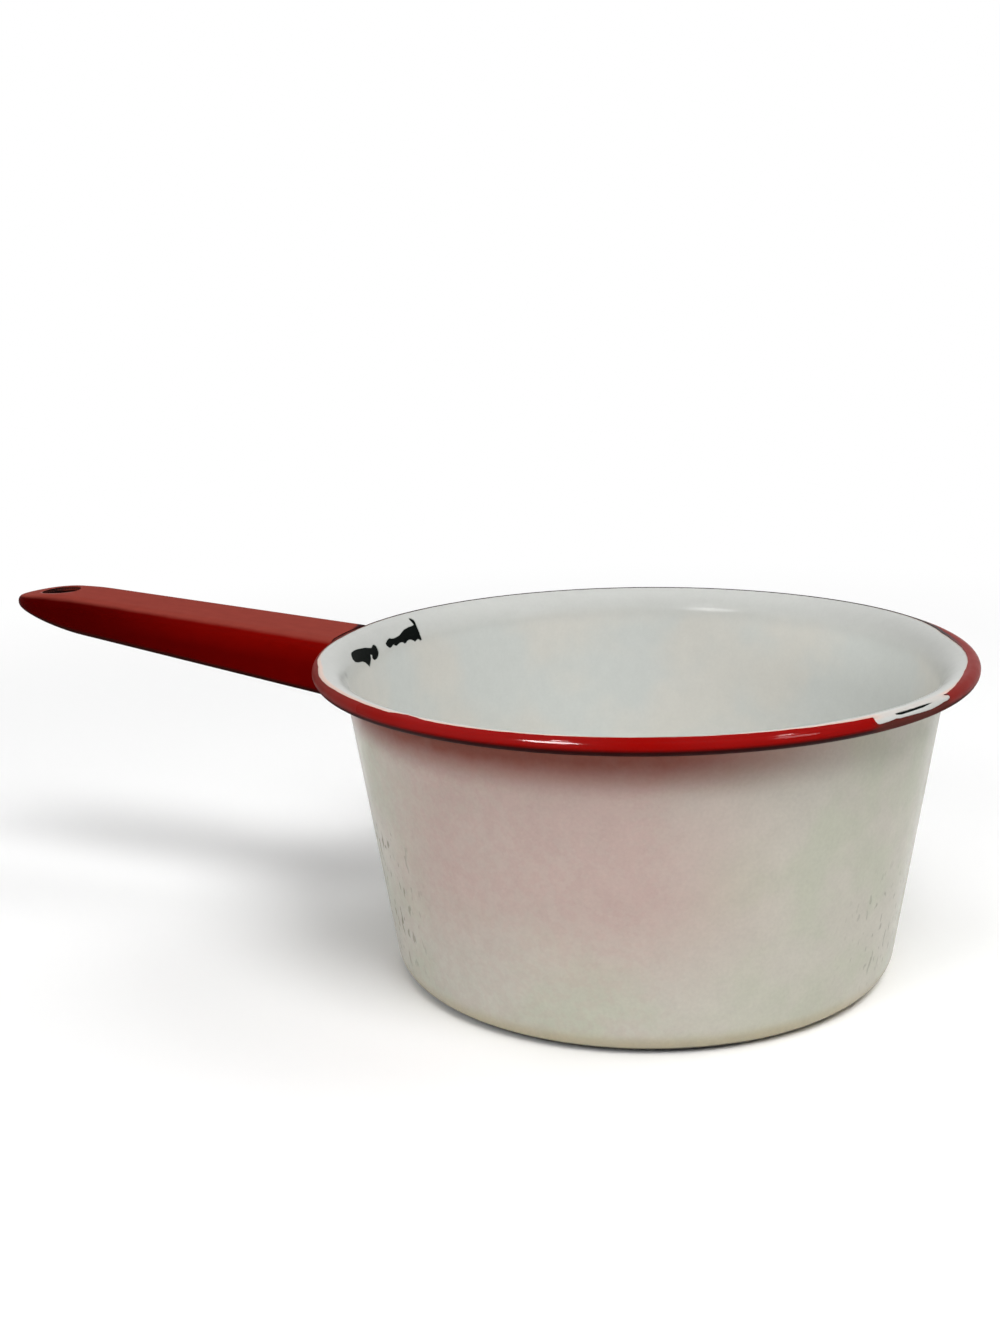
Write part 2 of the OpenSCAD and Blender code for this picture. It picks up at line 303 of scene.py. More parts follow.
def readPoints(piece):
    # every point's place, bearing and length along the outline
    mesh = piece.data
    places = np.zeros(len(mesh.vertices) * 3)
    mesh.vertices.foreach_get("co", places)
    places = places.reshape(-1, 3)
    along = np.zeros(len(mesh.vertices))
    mesh.attributes["along"].data.foreach_get("value", along)
    return places, bearingsOf(places), along


# Where the red band begins on top of the rim: bearing in degrees, radius in millimetres
redEdge = {
    "stations": [
        (0, 96.2), (6, 96.2), (15, 96.1), (24, 95.6), (30, 95.6), (36, 96.6), (45, 97.6), (60, 98.2),
        (90, 98.3), (120, 98.3), (150, 98.2), (165, 98.0), (176, 97.7), (186, 97.6), (192, 98.3),
        (198, 98.5), (204, 98.6), (210, 98.0), (216, 98.7), (222, 98.7), (228, 98.5), (238, 98.4),
        (245, 98.5), (249, 97.6), (253, 98.4), (262, 98.4), (270, 98.3), (290, 97.9), (310, 98.2),
        (322, 98.7), (326, 98.6), (345, 98.6), (349, 98.0), (354, 97.0), (360, 96.2),
    ],
    "pitch": 0.5,
    "wobble": 0.12,
    "wobblePitch": 5.0,
    "finer": 2.7,
    "fineShare": 0.5,
    "taper": 0.6,
    "thinning": 0.8,
    "lipShare": 0.6,
    "lipSteps": 8,
    "edgeSteps": 10,
    "movedSteps": 14,
    "slopeProbe": 0.1,
    "turns": 720,
}


def makeEdgeTable():
    pitch = redEdge["pitch"]
    bearings = np.radians(np.arange(0, 360 + pitch, pitch))
    stations = redEdge["stations"]
    radii = np.interp(np.degrees(bearings), [b for b, _ in stations], [r for _, r in stations])
    for i, bearing in enumerate(bearings):
        place = Vector((math.cos(bearing), math.sin(bearing), 0)) * bowl["rimRadius"]
        place /= redEdge["wobblePitch"]
        fine = redEdge["fineShare"] * noise.noise(place * redEdge["finer"])
        radii[i] += redEdge["wobble"] * (noise.noise(place) + fine)
    return bearings, radii


edgeTable = makeEdgeTable()


def redEdgeRadius(bearing):
    return np.interp(bearing, *edgeTable)


# Chips: corners as bearing in degrees and height or roll angle, and how ragged their edges are
chips = {
    "handleChip": [
        (-20.8, 94.2), (-18.8, 94.6), (-16.3, 94.6), (-13.2, 94.4), (-10.3, 94.0), (-7.5, 93.6),
        (-5.6, 93.1), (-4.2, 92.8), (-2.7, 93.3), (-1.4, 93.3), (-0.7, 92.7), (-0.6, 91.6),
        (-0.7, 90.5), (-1.5, 89.6), (-2.6, 89.0), (-4.7, 88.9), (-5.9, 89.5), (-6.3, 90.1),
        (-5.9, 90.9), (-6.7, 91.2), (-7.1, 90.0), (-8.2, 88.9), (-9.6, 87.7), (-11.0, 88.8),
        (-13.1, 90.1), (-15.1, 90.8), (-19.0, 91.4), (-21.6, 92.2), (-22.2, 93.2),
    ],
    "longChip": [
        (5.4, 92.2), (6.6, 92.7), (8.5, 93.2), (9.2, 93.2), (10.1, 92.8), (11.3, 92.7), (12.9, 92.8),
        (14.8, 93.0), (16.7, 93.6), (18.5, 94.1), (21.2, 94.4), (23.6, 94.5), (24.3, 94.6), (24.3, 95.4),
        (24.4, 96.1), (24.9, 96.5), (25.6, 96.3), (26.1, 95.8), (25.9, 95.3), (25.2, 94.1), (25.1, 92.7),
        (25.0, 91.2), (25.4, 89.0), (24.7, 89.0), (24.1, 89.7), (23.4, 90.1), (22.4, 89.8), (21.5, 89.6),
        (20.7, 90.2), (19.8, 90.6), (18.7, 90.8), (17.9, 90.6), (16.9, 90.1), (16.0, 90.0), (15.1, 90.6),
        (14.0, 90.8), (12.6, 90.6), (11.4, 90.2), (10.4, 90.5), (9.7, 91.0), (8.7, 90.6), (7.1, 90.3),
        (6.2, 90.8), (5.4, 91.5),
    ],
    "rimBlack": [
        (329.9, 54.3), (330.7, 56), (331.5, 55), (332.8, 55), (334.3, 55), (336.0, 55.5), (337.3, 54.5),
        (338.4, 52), (339.5, 47), (338.5, 43), (337.0, 38.5), (336.1, 37), (334.5, 36.5),
        (332.9, 35.5), (331.6, 35), (330.7, 36.5), (330.0, 43),
    ],
    "rimWhite": [
        (325.4, 90), (325.3, 55), (325.3, 33), (325.6, 17), (326.1, 10), (327.0, 10.4), (328.0, 12.7),
        (328.9, 15.9), (329.6, 20.0), (330.6, 14.1), (331.8, 15.0), (332.9, 13.6), (334.7, 12.0),
        (336.5, 9.4), (338.2, 7.3), (339.8, 10.7), (341.3, 15.0), (342.6, 20.4), (343.8, 19.7),
        (344.7, 27.2), (344.9, 39.8), (344.7, 50), (343.8, 58), (343.0, 90),
    ],
    "pitch": 0.25,
    "jitter": 0.05,
    "coarse": 1.3,
    "fine": 3.1,
    "fineShare": 0.5,
    "seeds": {"handleChip": 3.0, "longChip": 8.0, "rimBlack": 5.0, "rimWhite": 5.0},
    "reach": 91.0,
    "passes": 3,
    "rimPasses": 2,
    "margin": 0.6,
    "around": 1.8,
    "pull": 0.4,
    "markReach": 4.0,
}


def raggedOutline(corners, seed):
    # more corners along each edge, each a little off the line
    ragged = []
    for (x0, y0), (x1, y1) in zip(corners, corners[1:] + corners[:1]):
        steps = max(1, round(math.hypot(x1 - x0, y1 - y0) / chips["pitch"]))
        for i in range(steps):
            x, y = x0 + (x1 - x0) * i / steps, y0 + (y1 - y0) * i / steps
            place = Vector((x, y, seed))
            fine = chips["fineShare"] * noise.noise_vector(place * chips["fine"])
            offset = noise.noise_vector(place * chips["coarse"]) + fine
            ragged.append((x + offset.x * chips["jitter"], y + offset.y * chips["jitter"]))
    return np.array(ragged)


def wallCorners(name, outline, lengths):
    # chips on the wall: height becomes length along the outline, from just past the base to the crest
    first = outlineSteps["base"] + 2
    last = len(outline) - rollSteps
    heights = [p.y for p in outline[first:last]]
    corners = []
    for across, height in chips[name]:
        bearing = math.pi - across / chips["reach"]
        corners.append((bearing * chips["reach"], float(np.interp(height, heights, lengths[first:last]))))
    return corners


def rimCorners(name, depth, rollStart):
    # chips on the rim: an angle round the roll becomes length along the outline
    radius = rollRadius - depth
    return [
        (math.radians(bearing) * bowl["rimRadius"], rollStart + (lipEnd - math.radians(angle)) * radius)
        for bearing, angle in chips[name]
    ]


def nearOutline(outline, points):
    # for each point: distance to the outline, nearest place on it, and whether it lies inside
    start, end = outline, np.roll(outline, -1, axis=0)
    edge = end - start
    span = (edge**2).sum(1) + 1e-12
    share = ((points[:, None, :] - start[None]) * edge[None]).sum(2) / span
    nearest = start[None] + np.clip(share, 0, 1)[..., None] * edge[None]
    gaps = np.hypot(*np.moveaxis(points[:, None, :] - nearest, 2, 0))
    best = gaps.argmin(1)
    rows = np.arange(len(points))
    px, py = points[:, 0][:, None], points[:, 1][:, None]
    crosses = (start[:, 1] > py) != (end[:, 1] > py)
    slope = np.where(np.abs(edge[:, 1]) < 1e-9, 1e-9, edge[:, 1])
    inside = ((px < start[:, 0] + (py - start[:, 1]) * edge[:, 0] / slope) & crosses).sum(1) % 2 == 1
    return gaps[rows, best], nearest[rows, best], inside


def flatPlaces(mesh, reach):
    # bearing times reach and length along the outline, for every point in edit mode
    measure = mesh.verts.layers.float["along"]
    places = np.array([[v.co.x, v.co.y, v[measure]] for v in mesh.verts])
    return np.stack([bearingsOf(places) * reach, places[:, 2]], 1)


def within(flat, low, high, margin=0):
    return ((flat > low - margin) & (flat < high + margin)).all(1)


def openChip(piece, outline, lengths, name, corners, reach, passes=chips["passes"]):
    # finer cells round the chip, the cells inside it taken out, and the rest pulled to its edge
    chip = raggedOutline(corners, chips["seeds"][name])
    low, high = chip.min(0) - chips["margin"], chip.max(0) + chips["margin"]
    activate(piece)
    setMode("EDIT")
    bpy.ops.mesh.select_mode(type="FACE")
    for stage in range(passes + 1):
        bpy.ops.mesh.select_all(action="DESELECT")
        mesh = bmesh.from_edit_mesh(piece.data)
        mesh.verts.index_update()
        flat = flatPlaces(mesh, reach)
        # a spin leaves the first corner of a face to chance, so a few cells differ from run to run
        nearby = within(flat, low, high, chips["around"])
        faces = [face for face in mesh.faces if nearby[face.verts[0].index]]
        if stage < passes:
            close = within(flat, low, high)
            for face in faces:
                face.select_set(any(close[vert.index] for vert in face.verts))
            bmesh.update_edit_mesh(piece.data)
            bpy.ops.mesh.subdivide(number_cuts=1)
    middles = np.array([flat[[vert.index for vert in face.verts]].mean(0) for face in faces])
    _, _, inside = nearOutline(chip, middles)
    for face, taken in zip(faces, inside):
        face.select_set(bool(taken))
    bmesh.update_edit_mesh(piece.data)
    bpy.ops.mesh.delete(type="FACE")
    mesh = bmesh.from_edit_mesh(piece.data)
    mesh.verts.index_update()
    measure = mesh.verts.layers.float["along"]
    flat = flatPlaces(mesh, reach)
    close = within(flat, low, high)
    edge = [vert for vert in mesh.verts if vert.is_boundary and close[vert.index]]
    gaps, nearest, _ = nearOutline(chip, flat[[vert.index for vert in edge]])
    for vert, gap, place in zip(edge, gaps, nearest):
        if gap < chips["pull"]:
            vert.co = placeOn(outline, lengths, place[1], place[0] / reach)
            vert[measure] = place[1]
    bmesh.update_edit_mesh(piece.data)
    setMode("OBJECT")
    return chip


def markPoints(piece, name, values):
    piece.data.attributes.new(name, "FLOAT", "POINT").data.foreach_set("value", values.astype(np.float32))


def markDistance(piece, name, chipsHere, reach):
    # an attribute that holds each point's distance to the nearest of some chips, in millimetres
    far = chips["markReach"]
    _, bearings, along = readPoints(piece)
    flat = np.stack([bearings * reach, along], 1)
    distance = np.full(len(flat), far)
    for chip in chipsHere:
        close = np.nonzero(within(flat, chip.min(0), chip.max(0), far))[0]
        gaps, _, _ = nearOutline(chip, flat[close])
        distance[close] = np.minimum(distance[close], gaps)
    markPoints(piece, name, distance)


def markPastEdge(piece, name):
    # an attribute that holds how far each point lies outside the red band's edge, in millimetres
    places, bearings, _ = readPoints(piece)
    markPoints(piece, name, np.hypot(places[:, 0], places[:, 1]) / mm - redEdgeRadius(bearings))


# The white enamel inside: floor, wall, lip and roll, with three chips through it
def makeWhiteInside():
    piece, outline, lengths = spinOutline("whiteInside", insideStrokes(0), bowl["turns"])
    faceOutward(piece, (0, 0, 0), (0, 0, 1))
    marks = []
    for name in ("handleChip", "longChip"):
        corners = wallCorners(name, outline, lengths)
        marks.append(openChip(piece, outline, lengths, name, corners, chips["reach"]))
    corners = rimCorners("rimBlack", 0, lengths[-rollSteps - 1])
    rimMark = openChip(piece, outline, lengths, "rimBlack", corners, bowl["rimRadius"])
    markDistance(piece, "toChip", marks, chips["reach"])
    markDistance(piece, "toRimChip", [rimMark], bowl["rimRadius"])
    markPastEdge(piece, "pastRed")
    thicken(piece, bowl["whiteCoat"] * mm)
    shadeSmooth(piece, smoothAngle)
    return piece


# The white enamel outside, from a wavering line just above the foot to the lip's underside
whiteFoot = {
    "lift": 0.35,
    "reach": 6.0,
    "waver": 0.25,
    "waverPitch": 9.0,
    "waverSlice": 0.3,
    "bias": 0.5,
    "finer": 3.1,
    "fineShare": 0.4,
}


def makeWhiteOutside():
    strokes = outsideStrokes(atOutside, whiteFoot["lift"])
    piece, outline, lengths = spinOutline("whiteOutside", strokes, bowl["turns"])
    faceOutward(piece, (0.08, 0, 0.04), (1, 0, 0))
    _, bearings, along = readPoints(piece)
    for i in np.nonzero(along < whiteFoot["reach"])[0]:
        place = Vector((math.cos(bearings[i]), math.sin(bearings[i]), whiteFoot["waverSlice"]))
        place = place * bowl["footRadius"] / whiteFoot["waverPitch"]
        fine = whiteFoot["fineShare"] * noise.noise(place * whiteFoot["finer"])
        waver = whiteFoot["waver"] * (whiteFoot["bias"] + noise.noise(place) + fine)
        length = along[i] + waver * (1 - along[i] / whiteFoot["reach"])
        piece.data.vertices[i].co = placeOn(outline, lengths, length, bearings[i])
    thicken(piece, bowl["whiteCoat"] * mm)
    shadeSmooth(piece, smoothAngle)
    return piece


# The red enamel over the roll
def makeRedRim():
    lipTurn = math.pi - lean - lipEnd
    lip = lipArc(-bowl["redCoat"], math.pi - lean - redEdge["lipShare"] * lipTurn, redEdge["lipSteps"])
    strokes = [lip, rollArc(-bowl["redCoat"])]
    piece, outline, lengths = spinOutline("redRim", strokes, redEdge["turns"])
    faceOutward(piece, (bowl["rimRadius"] * mm, 0, rollMiddle.y * mm), (1, 0, 0))
    # the first stretch is drawn together so that it begins at the band's edge, and thinned there
    last = len(lip["points"]) + redEdge["edgeSteps"]
    radii = [p.x for p in outline[:last]]
    stretch = lengths[len(lip["points"]) + redEdge["movedSteps"]]
    places, bearings, along = readPoints(piece)
    edge = np.interp(redEdgeRadius(bearings), radii, lengths[:last])
    moved = np.where(along < stretch, edge + along * (stretch - edge) / stretch, along)
    thin = bowl["redCoat"] * redEdge["thinning"] * np.clip(1 - (moved - edge) / redEdge["taper"], 0, 1) ** 2
    ahead = placeOn(outline, lengths, moved + redEdge["slopeProbe"], bearings)
    step = ahead - placeOn(outline, lengths, moved - redEdge["slopeProbe"], bearings)
    around = np.stack([-np.sin(bearings), np.cos(bearings), np.zeros(len(bearings))], 1)
    outward = np.cross(around, step)
    outward /= np.linalg.norm(outward, axis=1)[:, None]
    places = placeOn(outline, lengths, moved, bearings) - outward * (thin * mm)[:, None]
    piece.data.vertices.foreach_set("co", places.ravel())
    piece.data.attributes["along"].data.foreach_set("value", moved.astype(np.float32))
    corners = rimCorners("rimWhite", -bowl["redCoat"], lengths[-rollSteps - 1])
    mark = openChip(piece, outline, lengths, "rimWhite", corners, bowl["rimRadius"], chips["rimPasses"])
    markDistance(piece, "toRimChip", [mark], bowl["rimRadius"])
    markPastEdge(piece, "pastEdge")
    thicken(piece, bowl["redCoat"] * mm)
    shadeSmooth(piece, smoothAngle)
    return piece


whiteInside = makeWhiteInside()
print("white enamel inside:", len(whiteInside.data.polygons), "faces")
whiteOutside = makeWhiteOutside()
print("white enamel outside:", len(whiteOutside.data.polygons), "faces")
redRim = makeRedRim()
print("red rim:", len(redRim.data.polygons), "faces")


# Handle: lengths count outwards from the bowl's axis, in millimetres, as in the CAD
handle = {
    "length": 129.6,
    "width": 28.8,
    "taper": 3.9,
    "depth": 19.2,
    "depthTaper": 7.2,
    "topDrop": 0.66,
    "rise": math.radians(4.52),
    "noseLength": 21.1,
    "noseDepth": 3.65,
    "noseDroop": 4.0,
    "shoulder": 4.5,
    "turn": 2.5,
    "lip": 1.6,
    "sheet": 1.3,
    "holeSize": 13.2,
    "holeInset": 16.8,
    "noseShoulder": 0.55,
    "noseTurn": 0.45,
    "noseLip": 0.4,
    "sideSteps": 56,
    "noseSteps": 26,
    "mergeGap": 0.02,
    "holeSides": 72,
    "holeCutter": 20.0,
}
# the space cut out of the handle's root; a shorter arc than the lip's puts the roll's part of it
# 0.5 mm further in and 1.0 mm lower than the roll itself
rootSpace = {"arcShare": 0.15, "overrun": 2.0, "shelf": 0.35, "rollSteps": 24}
tipAt = bowl["rimRadius"] + handle["length"]
noseAt = tipAt - handle["noseLength"]
straightRun = noseAt - bowl["rimRadius"]
bendAt = noseAt - handle["noseLength"] / 2
rootAt = bowl["rimRadius"] - bowl["lipReach"] * 2
holeAt = tipAt - handle["holeInset"]


def halfWidth(s):
    return handle["width"] / 2 - handle["taper"] / 2 / straightRun * (s - bowl["rimRadius"])


def lineTop(s):
    return bowl["height"] - handle["topDrop"] + math.tan(handle["rise"]) * (s - bowl["rimRadius"])


def bendShare(s):
    return max(0, (s - bendAt) / (tipAt - bendAt))


def noseShare(s):
    return max(0, (s - noseAt) / handle["noseLength"])


def handleTop(s):
    return lineTop(s) - handle["noseDroop"] * bendShare(s) ** 2


def lineLow(s):
    return lineTop(s) - handle["depth"] + handle["depthTaper"] / straightRun * (s - bowl["rimRadius"])


def handleLow(s):
    lift = handleTop(tipAt) - handle["noseDepth"] - lineLow(tipAt)
    share = bendShare(s)
    return lineLow(s) + lift * share * share * (3 - 2 * share)


def toTip(s, size, tipSize):
    return size + (tipSize - size) * noseShare(s)


def planPoint(station, inset):
    if station <= handle["sideSteps"]:
        s = rootAt + (noseAt - rootAt) * station / handle["sideSteps"]
        return s, halfWidth(s) - inset
    angle = math.pi / 2 * (station - handle["sideSteps"]) / handle["noseSteps"]
    length = (handle["noseLength"] - inset) * math.sin(angle)
    return noseAt + length, (halfWidth(noseAt) - inset) * math.cos(angle)


# The section from a turned-in lip up to the top's middle, as named stretches with their steps
sectionSteps = [("lip", 3), ("turn", 8), ("side", 6), ("shoulder", 10), ("top", 8)]


def sectionPoint(row):
    for stretch, steps in sectionSteps:
        if row <= steps:
            return stretch, row / steps
        row -= steps
    return "top", 1.0


def handlePoint(station, row):
    s = planPoint(station, 0)[0]
    stretch, share = sectionPoint(row)
    shoulder = toTip(s, handle["shoulder"], handle["noseDepth"] * handle["noseShoulder"])
    turn = toTip(s, handle["turn"], handle["noseDepth"] * handle["noseTurn"])
    lip = toTip(s, handle["lip"], handle["lip"] * handle["noseLip"])
    low, top = handleLow(s), handleTop(s)
    if stretch == "lip":
        inset, height = turn + lip * (1 - share), low
    elif stretch == "turn":
        angle = math.pi / 2 * (1 - share)
        inset, height = turn - turn * math.cos(angle), low + turn - turn * math.sin(angle)
    elif stretch == "side":
        inset, height = 0, low + turn + (top - shoulder - low - turn) * share
    elif stretch == "shoulder":
        angle = math.pi / 2 * share
        inset, height = shoulder - shoulder * math.cos(angle), top - shoulder + shoulder * math.sin(angle)
    else:
        inset, height = shoulder, top
    x, y = planPoint(station, inset)
    if stretch == "top":
        y *= 1 - share
    return -x, y, height


def makeBowlCutter():
    # the space that the bowl and its roll take, closed, for the handle's root to fit against
    lip = lipArc(atBack)
    reachable = [p for p in lip["points"] if p.y < bowl["height"] - bowl["rollSize"]]
    lip["turn"] *= rootSpace["arcShare"]
    lip["points"] = reachable
    foot = Vector((bowl["footRadius"] - (atOutside - atBack) / math.cos(lean), 0))
    foot -= Vector((math.tan(lean), 1)) * rootSpace["overrun"]
    shelf = Vector((reachable[-1].x + rootSpace["shelf"], bowl["height"] - bowl["rollSize"]))
    roll = arc(rollMiddle, rollHalf, -math.pi / 2, math.pi / 2, rootSpace["rollSteps"])
    corners = [Vector((0, foot.y)), foot, reachable[0]]
    strokes = [line(*corners[:2]), line(*corners[1:]), lip, line(reachable[-1], shelf)]
    strokes += [line(shelf, roll["points"][0]), roll, line(roll["points"][-1], Vector((0, bowl["height"])))]
    piece, _, _ = spinOutline("bowlCutter", strokes, bowl["turns"])
    faceOutward(piece, (0, 0, bowl["height"] * mm), (0, 0, 1))
    return piece


def makeRedHandle():
    stations = handle["sideSteps"] + handle["noseSteps"]
    rows = sum(steps for _, steps in sectionSteps)
    deselectAll()
    bpy.ops.mesh.primitive_grid_add(x_subdivisions=stations, y_subdivisions=2 * rows, size=1)
    piece = bpy.context.object
    piece.name = piece.data.name = "redHandle"
    for vert in piece.data.vertices:
        station = round((vert.co.x + 0.5) * stations)
        row = round((vert.co.y + 0.5) * 2 * rows)
        x, y, z = handlePoint(station, min(row, 2 * rows - row))
        vert.co = Vector((x, y if row > rows else -y, z)) * mm
    setMode("EDIT")
    bpy.ops.mesh.select_all(action="SELECT")
    bpy.ops.mesh.remove_doubles(threshold=handle["mergeGap"] * mm)
    setMode("OBJECT")
    faceOutward(piece, (-0.16, 0, 0.1), (0, 0, 1))
    thicken(piece, handle["sheet"] * mm, even=True)
    cutAway(piece, makeBowlCutter())
    deselectAll()
    bpy.ops.mesh.primitive_cylinder_add(
        vertices=handle["holeSides"],
        radius=handle["holeSize"] / 2 * mm,
        depth=handle["holeCutter"] * mm,
        location=Vector((-holeAt, 0, handleTop(holeAt))) * mm,
    )
    cutAway(piece, bpy.context.object)
    shadeSmooth(piece, smoothAngle)
    return piece


redHandle = makeRedHandle()
print("red handle:", len(redHandle.data.polygons), "faces")


# Materials: a wrapped socket that plain sums work on
class Wire:
    def __init__(self, tree, socket=None):
        self.tree = tree
        self.socket = socket

    def add(self, kind, settings=None, inputs=None, output=0):
        node = self.tree.nodes.new(kind)
        for name, value in (settings or {}).items():
            if name == "stops":
                while len(node.color_ramp.elements) < len(value):
                    node.color_ramp.elements.new(1)
                for stop, (place, colour) in zip(node.color_ramp.elements, value):
                    stop.position, stop.color = place, colour
            else:
                setattr(node, name, value)
        for name, value in (inputs or {}).items():
            if isinstance(value, Wire):
                self.tree.links.new(value.socket, node.inputs[name])
            else:
                node.inputs[name].default_value = value
        return Wire(self.tree, node.outputs[output])

    def maths(self, operation, *values):
        return self.add("ShaderNodeMath", {"operation": operation}, dict(enumerate(values)))

    def __add__(self, other):
        return self.maths("ADD", self, other)

    def __radd__(self, other):
        return self.maths("ADD", other, self)

    def __sub__(self, other):
        return self.maths("SUBTRACT", self, other)

    def __rsub__(self, other):
        return self.maths("SUBTRACT", other, self)

    def __mul__(self, other):
        return self.maths("MULTIPLY", self, other)

    def __rmul__(self, other):
        return self.maths("MULTIPLY", other, self)

    def absolute(self):
        return self.maths("ABSOLUTE", self)

    def root(self):
        return self.maths("SQRT", self)

    def rise(self, low, high):
        # 0 below low and 1 above high, or the other way round where low is the larger
        limits = {"Value": self, "From Min": low, "From Max": high}
        return self.add("ShaderNodeMapRange", {"interpolation_type": "SMOOTHSTEP"}, limits)

    def blend(self, first, second):
        # this value picks between two colours
        return self.add("ShaderNodeMix", {"data_type": "RGBA"}, {0: self, 6: first, 7: second}, 2)


def rgb(red, green, blue):
    return (red, green, blue, 1.0)


def newFinish(name):
    material = bpy.data.materials.new(name)
    material.use_nodes = True
    material.node_tree.nodes.clear()
    return material, Wire(material.node_tree).add("ShaderNodeTexCoord", output="Object")


def speckle(place, size, detail=2.0, roughness=0.5, stretch=(1, 1, 1)):
    # noise whose patches are about size millimetres across, 0 to 1
    scaled = place.add("ShaderNodeMapping", {}, {"Vector": place, "Scale": Vector(stretch) * 1000 / size})
    settings = {"Vector": scaled, "Scale": 1.0, "Detail": detail, "Roughness": roughness}
    return place.add("ShaderNodeTexNoise", {}, settings)


def ofPiece(place, name):
    return place.add("ShaderNodeAttribute", {"attribute_name": name}, output="Fac")


def splitPlace(place):
    return [place.add("ShaderNodeSeparateXYZ", {}, {"Vector": place}, i) for i in range(3)]


def noisesOf(place, look):
    return {name: speckle(place, *noise) for name, noise in look["noises"].items()}


def wiresOf(place, look):
    # what the marks follow: height in millimetres, bearing in degrees and the look's noises
    x, y, z = splitPlace(place)
    bearing = x.maths("ARCTAN2", y, x) * (180 / math.pi)
    return {"height": z * 1000, "bearing": bearing} | noisesOf(place, look)


def mask(wires, look, name):
    # the product of a mark's spans: two numbers are where a wire begins to count and counts fully,
    # and three are a middle and how far from it the mark ends and is whole
    product, mark = None, look["marks"][name]
    for key, span in mark.items():
        if key == "share":
            continue
        wire = wires[key] if len(span) == 2 else (wires[key] - span[0]).absolute()
        factor = wire.rise(*span[-2:])
        product = product * factor if product else factor
    return product * mark["share"] if "share" in mark else product


def paint(colour, wires, look, *names):
    # lays colours over one another, each where its mark is
    for name in names:
        colour = mask(wires, look, name).blend(colour, look[name])
    return colour


def nearSpot(place, spot):
    # 1 at a spot's middle and 0 beyond its size, in millimetres; a stretch above 1 narrows it
    stretch = spot["stretch"]
    scaled = place.add("ShaderNodeMapping", {}, {"Vector": place, "Scale": Vector(stretch) * 1000})
    middle = Vector([c * k for c, k in zip(spot["middle"], stretch)])
    gap = place.add("ShaderNodeVectorMath", {"operation": "DISTANCE"}, {0: scaled, 1: middle}, "Value")
    return gap.rise(spot["size"], 0)


def sway(first, second, amounts):
    # a factor near 1 that two noises sway
    return (first - 0.5) * amounts[0] + (second - 0.5) * amounts[1] + 1.0


def patchy(grain, shares):
    # a share that grows with a noise
    return shares[0] + grain * shares[1]


def scaleColour(colour, shade):
    return shade.add("ShaderNodeVectorMath", {"operation": "SCALE"}, {0: colour, "Scale": shade})


def unevenRoughness(grain, look):
    return (grain - 0.5) * look["roughnessSway"] + look["roughness"]


def orangePeel(place, look):
    # waves in the glass: size in millimetres, detail and share of a small and a broad layer
    small, broad = [speckle(place, size, detail) * share for size, detail, share in look["peel"]]
    return small + broad


def finishSurface(material, look, colour, roughness, relief, more=None):
    # the shader's own sockets take the fixed values, and only a few take links
    settings = {"Strength": 1.0, "Distance": look["bump"] * mm, "Height": relief}
    inputs = {"Base Color": colour, "Roughness": roughness, "Specular IOR Level": look["specular"]}
    inputs["Normal"] = colour.add("ShaderNodeBump", {}, settings)
    shader = colour.add("ShaderNodeBsdfPrincipled", {}, inputs | (more or {}))
    output = colour.tree.nodes.new("ShaderNodeOutputMaterial")
    colour.tree.links.new(shader.socket, output.inputs["Surface"])
    return material


def dress(piece, material):
    piece.data.materials.clear()
    piece.data.materials.append(material)


# Looks: noises as size, detail, roughness and stretch, and marks as mask explains them
whiteInsideLook = {
    "colour": rgb(0.605, 0.625, 0.603),
    "warm": rgb(0.640, 0.628, 0.585),
    "lip": rgb(0.530, 0.537, 0.515),
    "pink": rgb(0.62, 0.455, 0.385),
    "chipEdge": rgb(0.38, 0.41, 0.38),
    "noises": {"broad": (40, 3), "mottle": (5, 3), "fine": (1.0, 3), "patch": (3, 2)},
    "marks": {
        "warm": {"broad": (0.4, 0.62)},
        "lip": {"height": (86, 94)},
        "sides": {"sideways": (45, 95), "height": (88, 96), "share": 0.10},
        "bend": {"across": (20, 78), "height": (68, 88), "lipHeight": (97, 89), "share": 0.19},
        "front": {"bearing": (-85, 85, 60), "share": 1.3},
        "pink": {"pastLine": (-0.6, 0.2), "pastRed": (0.9, 0.3), "patch": (0.15, 0.4)},
        "pinkGap": {"bearing": (-25, 7, 10)},
        "chipEdge": {"toChip": (0.3, 0.0), "share": 0.5},
    },
    "shade": (0.07, 0.07),
    "across": (920, 390, 0),
    "dimpleShade": {"middle": (-81.1, -38.2, 92.4), "size": 3.6, "stretch": (1, 1, 2.6), "share": 0.16},
    "pinkInGap": 0.2,
    "pinkShare": 0.9,
    "peel": [(3.5, 2, 0.6), (14, 1, 1.6)],
    "bump": 0.04,
    "roughness": 0.16,
    "roughnessSway": 0.08,
    "specular": 0.03,
}


